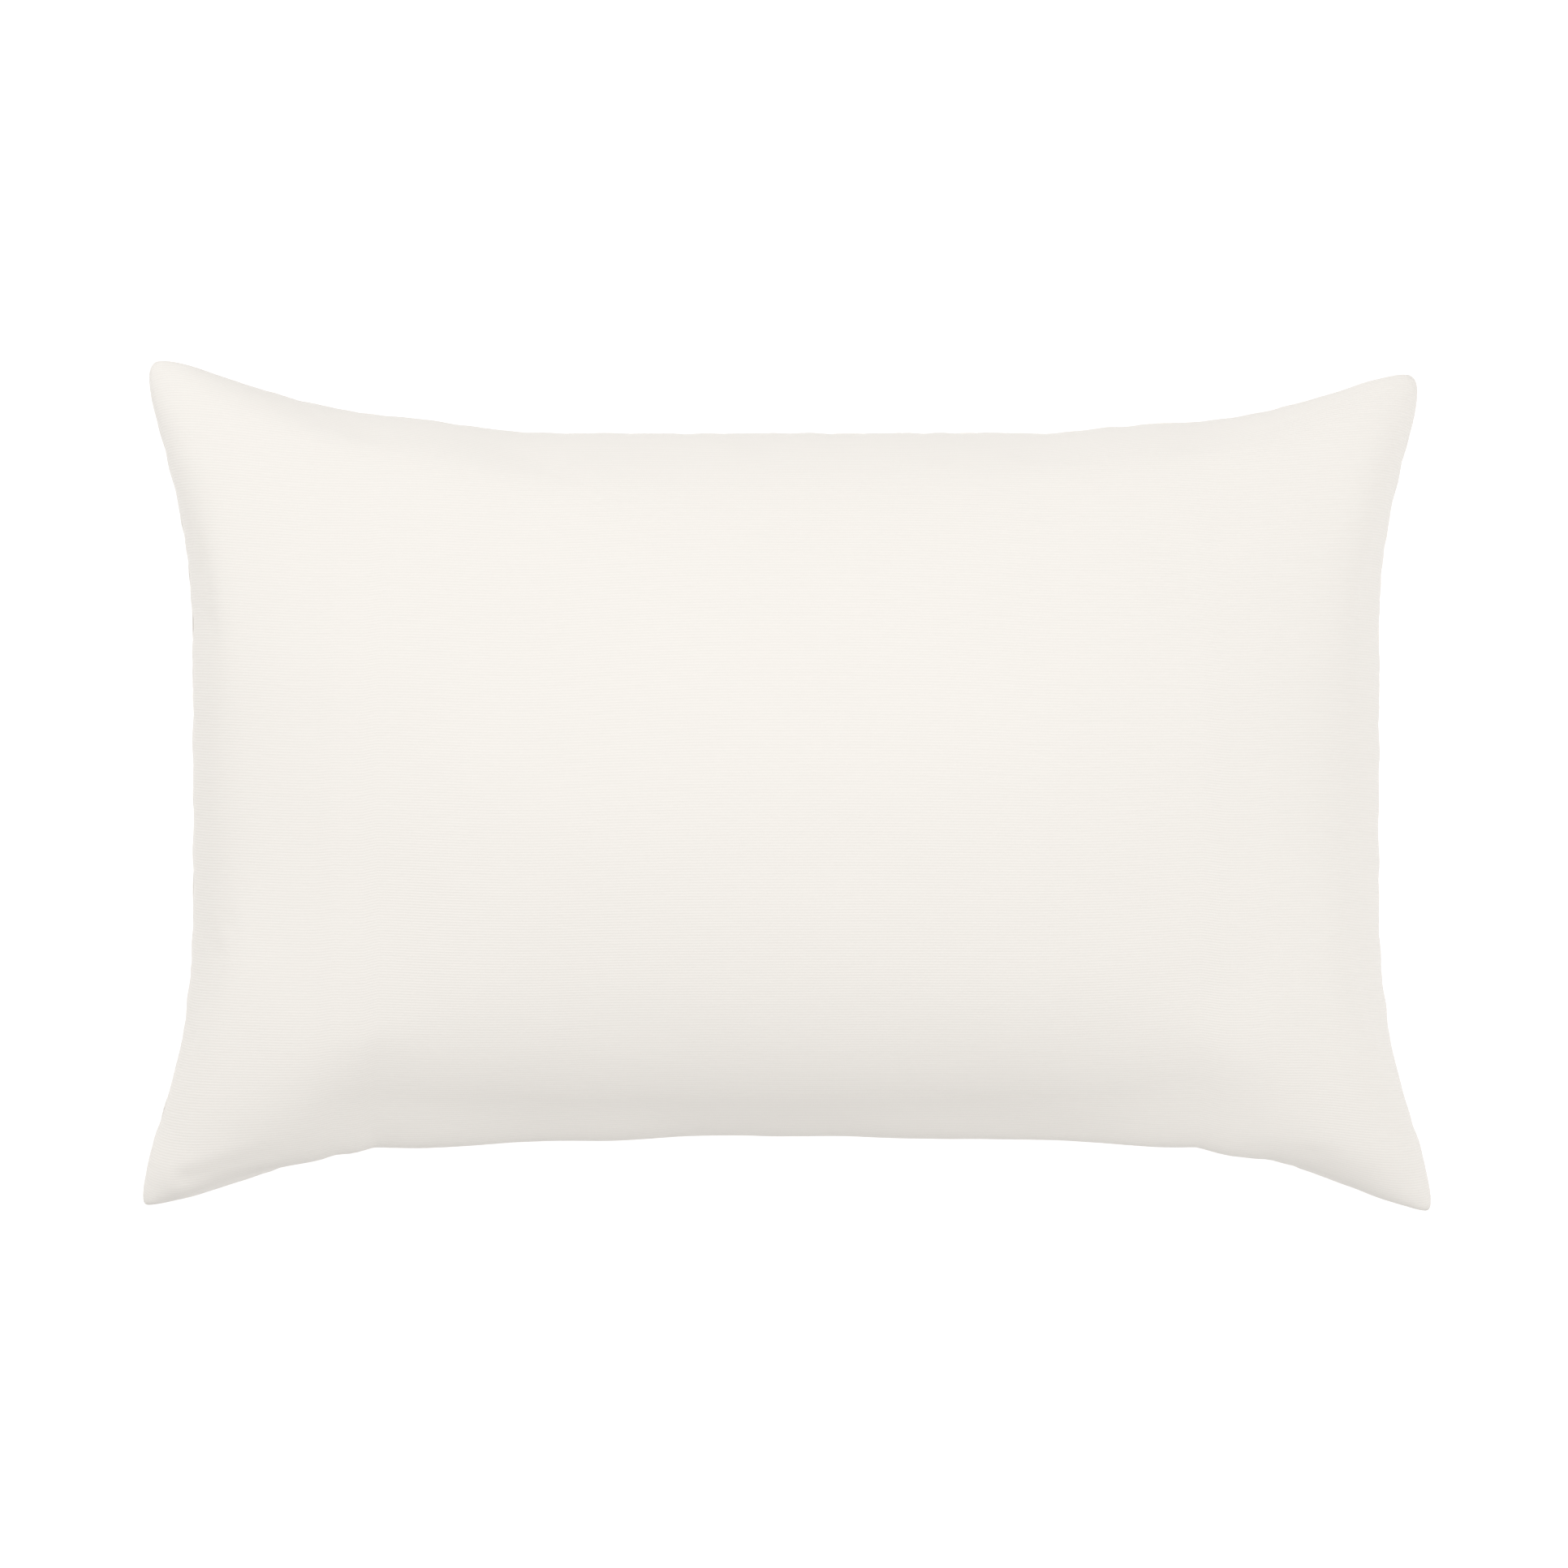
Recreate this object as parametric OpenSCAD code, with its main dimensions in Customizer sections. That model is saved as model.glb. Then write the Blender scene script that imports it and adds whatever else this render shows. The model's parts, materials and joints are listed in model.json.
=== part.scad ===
// Oblong bed pillow: a removable cover with a concealed zip in one long seam,
// over a fibre-filled insert. The pillow lies on its back panel, on the plane z = 0.

/* [Cover] */
// Width of the cover from ear to ear
cover_w = 758; // [700:1:800]
// Height of the cover from ear to ear
cover_h = 500; // [460:1:540]
// How far each short side draws in at its middle
draw_short = 30; // [20:1:40]
// How far the plain long side draws in at its middle
draw_long = 42; // [30:1:50]
// How far the zipped long side draws in along the zip
draw_zip = 46; // [36:1:54]
// Thickness of the cover cloth
cover_skin = 0.8; // [0.5:0.1:1]
// Depth of the turned-in seam allowance
allowance = 12; // [8:1:13]

/* [Loft] */
// Height of the seam above the surface that the pillow lies on
seam_z = 86; // [80:1:92]
// Rise of the front panel above the seam
front_rise = 112; // [90:1:125]
// Fall of the back panel below the seam, before the surface flattens it
back_fall = 103; // [97:1:110]
// How far the front panel bulges over the zip and hides it
overhang = 4.5; // [4:0.5:6]

/* [Insert] */
// How far the insert's seam lies inside the cover's seam
insert_inset = 15; // [14:0.5:18]
// Thickness of the ticking
ticking = 0.5; // [0.4:0.1:0.6]
// Length of the stretch of seam closed after filling
closing_len = 180; // [120:10:240]

/* [Zip] */
// Travel of the slider
zip_travel = 430; // [300:10:430]
// Length of the pull tab from its hinge
pull_len = 24; // [18:1:24]
// Diameter of each coil
coil_d = 1.5; // [1.3:0.1:1.5]

/* [Hidden] */

FRONT = 1;
BACK = -1;

// Powers of the curves that carry each side from its middle out to the ears
short_power = 2.8;
long_power = 3.2;
zip_power = 1.3;

// Height above the seam at which the overhang fades out, and the power that fades it at the ears
overhang_h = 40;
overhang_fade = 5;

// Half the gap between the two panels at the seam, for the cover and for the insert
cover_gap = 0.5;
insert_gap = 0.25;

// Height that the seam allowances rise on each side of the zip, over the first turn of cloth
zip_room = 3.6;
turn_depth = 1.6;
// Share of the cloth's thickness by which the first turn starts nearer the seam on its inside
turn_share = 0.6;

// Clear space between one layer and the next inside it
layer_gap = 1;
insert_allowance = 8;
// How far the seam threads stay clear of the cloth on each side of them
thread_clear = 0.05;
// How far the parts of one piece run into each other
overlap = 0.1;

// Grid cells of the cover, and how many each side of the middle stay straight along the zip
cover_cells = [32, 24];
insert_cells = [24, 16];
straight_cells = 7;
straight_u = sin(90 * straight_cells / (cover_cells.x / 2));

// Where the closed slider stands, and the line that the two panel edges meet on
slider_x = zip_travel / 2;
lip_y = draw_zip - cover_h / 2;
coil_depth = 3.4;
coil_gap = 0.55;
coil_offset = coil_gap + coil_d / 2;
slider_len = 10;
stop_len = 3;
stop_gap = 0.1;
coil_len = zip_travel + slider_len + 4 * stop_len;
tape_tail = 5;
tape_len = coil_len + 2 * tape_tail;
tape_gap = 0.25;

// ---- Shape of the pillow ----

// A layer is [inset of its outline, amount its crown and base draw in, half gap at its seam]
cover_out = [0, 0, cover_gap];
cover_in = [cover_skin, cover_skin, cover_gap];
insert_out = [insert_inset, cover_skin + layer_gap, insert_gap];
insert_in = [insert_inset + ticking, insert_out[1] + ticking, insert_gap];
fill_out = [insert_inset + insert_allowance + layer_gap, insert_in[1] + layer_gap / 2, insert_gap];
label_t = 0.2;
label_out = [insert_inset - layer_gap, cover_skin + label_t / 2, insert_gap];
label_in = [label_out[0] + 2 * label_t, label_out[1] + label_t, insert_gap];

// Position of grid line i of n, closer together towards the seams
function spread(i, n) = sin(180 * i / n - 90);

// Half width at height fraction v, and half height at width fraction u
function half_w(v, inset) = cover_w / 2 - inset - draw_short * (1 - pow(abs(v), short_power));
function plain_h(u, inset) = cover_h / 2 - inset - draw_long * (1 - pow(abs(u), long_power));
function past_zip(u) = max(0, (abs(u) - straight_u) / (1 - straight_u));
function zip_h(u, inset) = cover_h / 2 - inset - draw_zip * (1 - pow(past_zip(u), zip_power));
function long_h(u, v, inset) = v < 0 ? zip_h(u, inset) : plain_h(u, inset);
function plan(u, v, inset) = [u * half_w(v, inset), v * long_h(u, v, inset)];

// Crown of the pillow, from 0 at the seam to 1 in the middle
function crown(u, v) = sqrt(max(0, (1 - u * u) * (1 - v * v)));

// Bulge of the front panel over the zipped seam
function bulge(u, v, rise) = (v < 0 && rise < overhang_h)
    ? overhang * (1 - pow(abs(u), overhang_fade)) * pow(v, 4) * sin(180 * rise / overhang_h)
    : 0;

function front_point(u, v, layer) = let (
    p = plan(u, v, layer[0]),
    rise = (front_rise - layer[1]) * crown(u, v)
) [p.x, p.y - bulge(u, v, rise), seam_z + layer[2] + rise];

function back_point(u, v, layer) = let (
    p = plan(u, v, layer[0]),
    fall = (back_fall - layer[1]) * crown(u, v)
) [p.x, p.y, max(layer[1], seam_z - layer[2] - fall)];

function layer_point(side, u, v, layer) =
    side == FRONT ? front_point(u, v, layer) : back_point(u, v, layer);

// ---- Grids and rings ----

function grid_points(side, cells, layer) = [
    for (i = [0:cells.x], j = [0:cells.y])
        layer_point(side, spread(i, cells.x), spread(j, cells.y), layer)
];

// Fractions [u, v] of the grid's edge, anticlockwise from the lower left ear
function edge_uv(cells) = concat(
    [for (i = [0:cells.x - 1]) [spread(i, cells.x), -1]],
    [for (j = [0:cells.y - 1]) [1, spread(j, cells.y)]],
    [for (i = [cells.x:-1:1]) [spread(i, cells.x), 1]],
    [for (j = [cells.y:-1:1]) [-1, spread(j, cells.y)]]
);

// Point numbers of the grid's edge, in the same order
function edge_numbers(cells, first) = let (rows = cells.y + 1) concat(
    [for (i = [0:cells.x - 1]) first + i * rows],
    [for (j = [0:cells.y - 1]) first + cells.x * rows + j],
    [for (i = [cells.x:-1:1]) first + i * rows + cells.y],
    [for (j = [cells.y:-1:1]) first + j]
);

// Cell numbers from 0 to n - 1, listed from the middle on
function from_middle(n) = let (middle = floor(n / 2)) [for (i = [0:n - 1]) (i + middle) % n];

// Triangles of a grid, seen as an upper surface or as a lower one
function grid_faces(cells, first, upper) = let (rows = cells.y + 1) [
    for (i = from_middle(cells.x), j = from_middle(cells.y))
        let (a = first + i * rows + j, b = a + rows, c = b + 1, d = a + 1)
            each upper ? [[a, d, c], [a, c, b]] : [[a, b, c], [a, c, d]]
];

function flipped(faces) = [for (f = faces) [f[0], f[2], f[1]]];

// Triangles of the band between two closed rings of point numbers
function band(outer, inner) = let (n = len(outer)) [
    for (k = [0:n - 1])
        let (m = (k + 1) % n)
            each [[outer[k], outer[m], inner[m]], [outer[k], inner[m], inner[k]]]
];

// ---- Sewn panels ----

// A fold is [zip room, cloth thickness, depth of the allowance]; its ring stands at a depth
// inside the seam and at a height above the seam's own gap
function zip_here(uv, room) = (uv.y == -1 && abs(uv.x) < straight_u + 0.001) ? room : 0;

function fold_ring(side, cells, layer, fold, step) = [
    for (uv = edge_uv(cells))
        let (
            rise = zip_here(uv, fold[0]),
            depth = [turn_depth, fold[2], fold[2], turn_depth - fold[1] * turn_share][step],
            height = [rise, rise, rise + fold[1], rise + fold[1]][step],
            p = plan(uv.x, uv.y, layer[0] + depth)
        )
            [p.x, p.y, seam_z + side * (layer[2] + height)]
];

// Lowest height of the inner surface above the gap, where it meets the turned-in cloth
function fold_height(u, v, fold) = let (slope = zip_here([u, v], fold[0]) / turn_depth)
    fold[1] * (slope + sqrt(1 + slope * slope));

function inner_point(side, u, v, layer, fold) = let (
    p = layer_point(side, u, v, layer),
    least = layer[2] + fold_height(u, v, fold)
) [p.x, p.y, seam_z + side * max(least, side * (p.z - seam_z))];

function inner_points(side, cells, layer, fold) = [
    for (i = [0:cells.x], j = [0:cells.y])
        inner_point(side, spread(i, cells.x), spread(j, cells.y), layer, fold)
];

// One cloth panel: outer surface, turned-in allowance and inner surface as one closed skin
module panel(side, cells, outer, inner, fold) {
    grid_size = (cells.x + 1) * (cells.y + 1);
    ring_size = 2 * (cells.x + cells.y);
    rings = [
        edge_numbers(cells, 0),
        for (r = [0:3]) [for (k = [0:ring_size - 1]) grid_size + r * ring_size + k],
        edge_numbers(cells, grid_size + 4 * ring_size)
    ];
    points = concat(
        grid_points(side, cells, outer),
        [for (r = [0:3]) each fold_ring(side, cells, outer, fold, r)],
        inner_points(side, cells, inner, fold)
    );
    faces = concat(
        grid_faces(cells, 0, true),
        [for (r = [0:4]) each band(rings[r], rings[r + 1])],
        grid_faces(cells, grid_size + 4 * ring_size, false)
    );
    polyhedron(points, side == FRONT ? faces : flipped(faces), convexity = 4);
}

// ---- Threads and labels ----

// Thread laid along a stretch of seam, between ring numbers first and last
module seam_thread(cells, first, last, inset, width, gap) {
    ring = edge_uv(cells);
    n = len(ring);
    stations = [for (k = [first:last]) ring[k % n]];
    points = [
        for (uv = stations, corner = [[0, 1], [width, 1], [width, -1], [0, -1]])
            let (p = plan(uv.x, uv.y, inset + corner[0]))
                [p.x, p.y, seam_z + corner[1] * gap]
    ];
    last_ring = 4 * (len(stations) - 1);
    sides = [
        for (k = [0:len(stations) - 2], c = [0:3])
            let (a = 4 * k + c, b = 4 * k + (c + 1) % 4)
                each [[a, b, b + 4], [a, b + 4, a + 4]]
    ];
    first_end = [[0, 3, 2], [0, 2, 1]];
    last_end = [for (corner = [1, 2]) [last_ring, last_ring + corner, last_ring + corner + 1]];
    polyhedron(points, concat(sides, first_end, last_end), convexity = 4);
}

// Cloth tab that follows the pillow's lower surface, between two corners given as the
// angles whose sines are the grid fractions
module curved_label(cells, low, high, outer, inner) {
    step = [(high.x - low.x) / cells.x, (high.y - low.y) / cells.y];
    function patch(layer) = [
        for (i = [0:cells.x], j = [0:cells.y])
            back_point(sin(low.x + i * step.x), sin(low.y + j * step.y), layer)
    ];
    size = (cells.x + 1) * (cells.y + 1);
    faces = concat(
        grid_faces(cells, 0, false),
        grid_faces(cells, size, true),
        flipped(band(edge_numbers(cells, 0), edge_numbers(cells, size)))
    );
    polyhedron(concat(patch(outer), patch(inner)), faces, convexity = 4);
}

// ---- Cover ----

cover_fold = [zip_room, cover_skin, allowance];
zip_first = cover_cells.x / 2 - straight_cells;
zip_last = cover_cells.x / 2 + straight_cells;
cover_ring = 2 * (cover_cells.x + cover_cells.y);

module cover_front_panel() {
    color("#f4f1ec") panel(FRONT, cover_cells, cover_out, cover_in, cover_fold);
}

module cover_back_panel() {
    color("#f1eee8") panel(BACK, cover_cells, cover_out, cover_in, cover_fold);
}

module cover_seam_thread() {
    thread_inset = 1.7;
    thread_w = 0.8;
    color("#e9e5dc") seam_thread(
        cover_cells, zip_last + 1, cover_ring + zip_first - 1,
        thread_inset, thread_w, cover_gap - thread_clear
    );
}

module care_label() {
    tab_w = 11.5;
    tab_l = 30;
    tab_t = 0.3;
    tab_y = -40;
    tab_lift = 0.2;
    seam_x = half_w(0, 0) - 2;
    color("white")
        translate([seam_x - tab_w, tab_y - tab_l / 2, seam_z + cover_gap + cover_skin + tab_lift])
            cube([tab_w, tab_l, tab_t]);
}

// ---- Zip ----

// A bar along the zip with a section given as [depth inside the seam, height] points
module along_zip(length, section) {
    translate([-length / 2, lip_y, seam_z])
        rotate([90, 0, 90])
            linear_extrude(length)
                polygon(section);
}

// Woven tape: a narrow edge that carries the coil, turned into the wide part behind it
module zip_tape(side) {
    tape_t = 0.5;
    edge_depth = 2.05;
    edge_low = 0.75;
    top = cover_gap + zip_room - tape_gap;
    section = [
        [edge_depth, edge_low],
        [edge_depth + tape_t, edge_low],
        [edge_depth + tape_t, top - tape_t],
        [allowance, top - tape_t],
        [allowance, top],
        [edge_depth, top]
    ];
    color("#f5f3ef") along_zip(tape_len, [for (p = section) [p.x, side * p.y]]);
}

module zip_coil(side) {
    color("#f7f6f2")
        translate([-coil_len / 2, lip_y + coil_depth, seam_z + side * coil_offset])
            rotate([0, 90, 0])
                cylinder(h = coil_len, d = coil_d, $fn = 32);
}

module zip_stitching() {
    row_depth = 8;
    row_w = 0.6;
    row_t = 0.15;
    row_len = tape_len - 2 * tape_tail;
    row_rise = cover_gap + zip_room - tape_gap / 2;
    color("#e9e5dc")
        for (side = [FRONT, BACK])
            translate([-row_len / 2, lip_y + row_depth, seam_z + side * row_rise - row_t / 2])
                cube([row_len, row_w, row_t]);
}

// Face of the stops that lies behind the coils
stop_y = lip_y + coil_depth + coil_d / 2 + stop_gap;

// A crimped stop on one coil
module coil_stop(x, side) {
    stop_w = 1.1;
    stop_h = 1.5;
    translate([x - stop_len / 2, stop_y, seam_z + side * coil_offset - stop_h / 2])
        cube([stop_len, stop_w, stop_h]);
}

module zip_top_stops() {
    stop_x = slider_x + slider_len / 2 + stop_len;
    color("#eceae4")
        for (side = [FRONT, BACK])
            coil_stop(stop_x, side);
}

module zip_bottom_stop() {
    box_w = 1.6;
    box_h = 4.6;
    stop_x = -slider_x - slider_len / 2 - stop_len;
    color("#eceae4")
        translate([stop_x - stop_len / 2, stop_y, seam_z - box_h / 2])
            cube([stop_len, box_w, box_h]);
}

// Height of the pull's hinge line outside the seam, and radius of its cross bar
hinge_out = 1.8;
bar_r = 0.55;

// Slider: an inner plate with two side walls round the coils, a neck through the slit
// between the panels, and a crown outside that holds the pull
module zip_slider() {
    plate_h = 5.8;
    plate_t = 1.1;
    plate_depth = 4.5;
    wall_t = 0.55;
    wall_depth = 3;
    neck_t = 0.7;
    neck_len = 3;
    crown_h = 1.4;
    crown_len = 6.8;
    crown_out = 3.2;
    foot_out = 0.5;
    eye_len = 3.4;
    eye_clear = 0.15;
    corner_r = 1.6;
    plate_blank = plate_depth + plate_t + 1;
    color("#efede8")
        translate([slider_x, lip_y, seam_z]) {
            intersection() {
                translate([-slider_len / 2, plate_depth, -plate_h / 2])
                    cube([slider_len, plate_t, plate_h]);
                union() {
                    for (x = [-1, 1], z = [-1, 1])
                        translate([x * (slider_len / 2 - corner_r), 0, z * (plate_h / 2 - corner_r)])
                            rotate([-90, 0, 0])
                                cylinder(h = plate_blank, r = corner_r, $fn = 32);
                    translate([-slider_len / 2, 0, corner_r - plate_h / 2])
                        cube([slider_len, plate_blank, plate_h - 2 * corner_r]);
                    translate([corner_r - slider_len / 2, 0, -plate_h / 2])
                        cube([slider_len - 2 * corner_r, plate_blank, plate_h]);
                }
            }
            for (side = [0, 1])
                mirror([0, 0, side])
                    translate([corner_r - slider_len / 2, wall_depth, plate_h / 2 - wall_t])
                        cube([slider_len - 2 * corner_r, plate_depth - wall_depth + overlap, wall_t]);
            translate([-neck_len / 2, -foot_out - 3 * overlap, -neck_t / 2])
                cube([neck_len, plate_depth + foot_out + 4 * overlap, neck_t]);
            difference() {
                crown_arch(crown_len, crown_out, foot_out, crown_h);
                translate([0, -hinge_out, -crown_h])
                    crown_eye(eye_len, bar_r + eye_clear, 2 * crown_h);
            }
        }
}

// The crown: a round-topped arch that stands out from the seam
module crown_arch(length, out, foot, thick) {
    shoulder = 1.2;
    translate([0, 0, -thick / 2]) {
        translate([-length / 2, -out + shoulder, 0])
            cube([length, out - shoulder - foot, thick]);
        translate([-length / 2 + shoulder, -out, 0])
            cube([length - 2 * shoulder, shoulder + overlap, thick]);
        for (x = [-1, 1])
            translate([x * (length / 2 - shoulder), -out + shoulder, 0])
                cylinder(h = thick, r = shoulder, $fn = 32);
    }
}

// The eye through the crown, in which the pull's bar turns
module crown_eye(length, r, thick) {
    translate([-length / 2 + r, -r, 0])
        cube([length - 2 * r, 2 * r, thick]);
    for (x = [-1, 1])
        translate([x * (length / 2 - r), 0, 0])
            cylinder(h = thick, r = r, $fn = 32);
}

// Pull tab: a cross bar in the crown, two arms beside the crown and a rounded tab
module zip_pull() {
    tab_t = 1;
    tab_r = 2.6;
    arm_in = 0.95;
    arm_out = 1.9;
    arm_r = 0.8;
    arm_len = 5.6;
    eye_end = 4.9;
    hole_r = 0.9;
    color("#f2f0eb")
        translate([slider_x, lip_y - hinge_out, seam_z]) {
            translate([0, 0, -arm_out])
                cylinder(h = 2 * arm_out, r = bar_r, $fn = 32);
            for (side = [0, 1])
                mirror([0, 0, side]) {
                    translate([0, 0, arm_in])
                        cylinder(h = arm_out - arm_in, r = arm_r, $fn = 32);
                    translate([-arm_len, -tab_t / 2, arm_in])
                        cube([arm_len, tab_t, arm_out - arm_in]);
                }
            difference() {
                union() {
                    translate([-pull_len + tab_r, -tab_t / 2, -arm_out])
                        cube([pull_len - tab_r - eye_end, tab_t, 2 * arm_out]);
                    translate([-pull_len + tab_r, tab_t / 2, 0])
                        rotate([90, 0, 0])
                            cylinder(h = tab_t, r = tab_r, $fn = 48);
                }
                translate([-pull_len + tab_r, tab_t, 0])
                    rotate([90, 0, 0])
                        cylinder(h = 2 * tab_t, r = hole_r, $fn = 32);
            }
        }
}

// ---- Insert ----

insert_fold = [0, ticking, insert_allowance];
insert_ring = 2 * (insert_cells.x + insert_cells.y);
// Cells of the top seam, each side of the middle, that the closing stitch spans
closing_cells = round(asin(closing_len / (cover_w - 2 * insert_inset)) / 180 * insert_cells.x);
top_middle = insert_cells.x + insert_cells.y + insert_cells.x / 2;
insert_thread_inset = insert_inset + 1.5;
insert_thread_w = 0.6;

module insert_front_panel() {
    color("#faf9f6") panel(FRONT, insert_cells, insert_out, insert_in, insert_fold);
}

module insert_back_panel() {
    color("#f8f7f4") panel(BACK, insert_cells, insert_out, insert_in, insert_fold);
}

module insert_seam_thread() {
    color("#efece6") seam_thread(
        insert_cells, top_middle + closing_cells, insert_ring + top_middle - closing_cells,
        insert_thread_inset, insert_thread_w, insert_gap - thread_clear
    );
}

module insert_closing_stitch() {
    color("#dfe3e8") seam_thread(
        insert_cells, top_middle - closing_cells, top_middle + closing_cells,
        insert_thread_inset, insert_thread_w, insert_gap - thread_clear
    );
}

module insert_label() {
    low = [53, -20];
    high = [90, -10];
    color("white") curved_label([8, 3], low, high, label_out, label_in);
}

module fibre_fill() {
    grid_size = (insert_cells.x + 1) * (insert_cells.y + 1);
    faces = concat(
        grid_faces(insert_cells, 0, true),
        grid_faces(insert_cells, grid_size, false),
        band(edge_numbers(insert_cells, 0), edge_numbers(insert_cells, grid_size))
    );
    color("#ffffff") polyhedron(
        concat(grid_points(FRONT, insert_cells, fill_out), grid_points(BACK, insert_cells, fill_out)),
        faces,
        convexity = 4
    );
}

cover_front_panel();
cover_back_panel();
cover_seam_thread();
care_label();
zip_tape(FRONT);  // zip_tape_front
zip_tape(BACK);  // zip_tape_back
zip_coil(FRONT);  // zip_coil_front
zip_coil(BACK);  // zip_coil_back
zip_top_stops();
zip_bottom_stop();
zip_stitching();
zip_slider();
zip_pull();
insert_front_panel();
insert_back_panel();
insert_seam_thread();
insert_closing_stitch();
insert_label();
fibre_fill();
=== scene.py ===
"""Oblong bed pillow: ribbed cotton cover with a concealed zip, over a fibre-filled insert."""
import json
import math

import bmesh
import bpy
import numpy as np
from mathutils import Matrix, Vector, noise


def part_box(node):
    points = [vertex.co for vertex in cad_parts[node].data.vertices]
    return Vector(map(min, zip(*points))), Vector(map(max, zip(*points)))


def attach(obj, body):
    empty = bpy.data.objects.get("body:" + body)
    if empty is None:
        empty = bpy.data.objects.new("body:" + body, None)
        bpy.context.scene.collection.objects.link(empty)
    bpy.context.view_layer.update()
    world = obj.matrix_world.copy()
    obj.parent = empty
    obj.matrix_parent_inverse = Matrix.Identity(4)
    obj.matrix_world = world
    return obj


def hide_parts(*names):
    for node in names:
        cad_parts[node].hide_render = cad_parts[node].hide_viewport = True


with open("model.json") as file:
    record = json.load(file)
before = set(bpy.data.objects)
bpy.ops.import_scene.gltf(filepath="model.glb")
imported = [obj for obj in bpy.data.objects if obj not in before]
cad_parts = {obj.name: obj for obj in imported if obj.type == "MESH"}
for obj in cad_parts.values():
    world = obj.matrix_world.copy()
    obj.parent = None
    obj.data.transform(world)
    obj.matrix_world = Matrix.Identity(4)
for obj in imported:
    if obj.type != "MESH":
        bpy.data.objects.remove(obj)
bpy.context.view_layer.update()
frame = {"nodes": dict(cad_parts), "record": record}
scene = bpy.context.scene

MM = 0.001
FRONT, BACK = 1, -1

# ---------------------------------------------------------------- sizes taken from the frame

front_low, front_high = (np.array(c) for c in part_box("cover_front_panel"))
back_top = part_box("cover_back_panel")[1][2]
HALF = np.array([front_high[0] - front_low[0], front_high[1] - front_low[1]]) / 2
SEAM_Z = (front_low[2] + back_top) / 2
RISE = front_high[2] - front_low[2]
TAPE_DEPTH = 2.05 * MM                       # of the tape's near edge inside the cover's lip
LIP_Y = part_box("zip_tape_front")[0][1] - TAPE_DEPTH
CHAIN_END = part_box("zip_coil_front")[1][0]

# ---------------------------------------------------------------- shape of the pillow

CUT = np.array([762, 508]) * MM / 2          # half the size that each panel is cut and sewn to
FALL = 103 * MM                              # fall below the seam, before the bed flattens it
DRAW_SHORT = 28 * MM                         # how far the short sides draw in at their middles
DRAW_LONG = 41.4 * MM                        # how far the plain long side draws in
DRAW_ZIP = HALF[1] + LIP_Y                   # how far the zipped side draws in
# Share of the zipped side that is straight, where a seam line of the CAD's grid falls
STRAIGHT_U = math.sin(math.radians(90 * 7 / 16))
OVERHANG = 7.9 * MM                          # the front's bulge over the zip
END_OVERHANG = 6.9 * MM                      # how much further it bulges at the zip's ends
OVERHANG_H = 52 * MM                         # height above the seam at which the bulge has faded
ROUND_EARS = 32                              # the top ears; the higher, the sharper
SHARP_EARS = 78                              # the bottom ears
# How far each ear lies from its place on a true oblong at the seam's level, as x, y and z in mm
EAR_LIE = {
    (-1, 1): (-0.6, 4.9, -5), (1, 1): (-2.7, -3.3, -5),
    (-1, -1): (-1.8, 0.9, 5), (1, -1): (2.9, -2.5, 3),
}

CLOTH_T = 0.6 * MM
FOLD_R = 0.9 * MM                            # radius of the sewn edge's roll
ALLOWANCE = 12 * MM                          # depth of the turned-in seam allowance
SEAM_GAP = 0.12 * MM                         # half the gap between the sewn edges
SLIT_GAP = 0.45 * MM                         # half the slit over the zip
ZIP_ROOM = 3.65 * MM                         # height that the turned-in cloth rises to clear the zip


def smooth(x):
    x = np.clip(x, 0, 1)
    return x * x * (3 - 2 * x)


def side_curve(u, flat, full, power):
    """0 along a side's drawn-in middle, up to flat, then rising to 1 and levelling off near full."""
    def level(x):
        rise = np.maximum((x - flat) / (full - flat), 0) ** power
        return rise / (1 + rise ** 7) ** (1 / 7)
    return level(np.abs(u)) / level(1)


def outline(u, v):
    """Plan position of the point at fractions u, v of the half width and half height."""
    half_w = HALF[0] - DRAW_SHORT * (1 - side_curve(v, flat=0.35, full=0.933, power=1.87))
    swell = 0.8 * side_curve(u, flat=0.624, full=0.978, power=1.57)
    swell = 0.2 * smooth((np.abs(u) - 0.36) / 0.3) + swell
    plain = HALF[1] - DRAW_LONG * (1 - swell)
    sweep = np.where(u < 0, 0.91, 1.12)      # the right end hollows more than the left
    zipped = HALF[1] - DRAW_ZIP * (1 - side_curve(u, flat=STRAIGHT_U, full=1.006, power=sweep))
    ear = np.where(v < 0, SHARP_EARS, ROUND_EARS)
    trim = 1 - np.abs(u * v) ** ear / (2 * ear + 1)
    x = u * half_w * trim
    y = v * np.where(v < 0, zipped, plain) * trim
    for (across, up), (dx, dy, _) in EAR_LIE.items():
        near = smooth((u * across - 0.29) / 0.71) * smooth((v * up - 0.22) / 0.78)
        x = x + dx * MM * near
        y = y + dy * MM * near
    return x, y


def ear_lift(u, v):
    """How far the seam has left its own level at fractions u, v, which it does only at the ears."""
    lift = 0
    for (across, up), (_, _, dz) in EAR_LIE.items():
        lift = lift + dz * MM * (np.maximum(u * across, 0) * np.maximum(v * up, 0)) ** 6
    return lift


def on_bed(height, softness):
    """Heights that stop at the bed, which they meet gently."""
    return 0.5 * (height + np.sqrt(height ** 2 + softness ** 2))


def dome(x, power):
    """1 in the middle and 0 at the seams; the lower the power, the flatter its top."""
    return np.maximum(0, 1 - x * x) ** power


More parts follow.
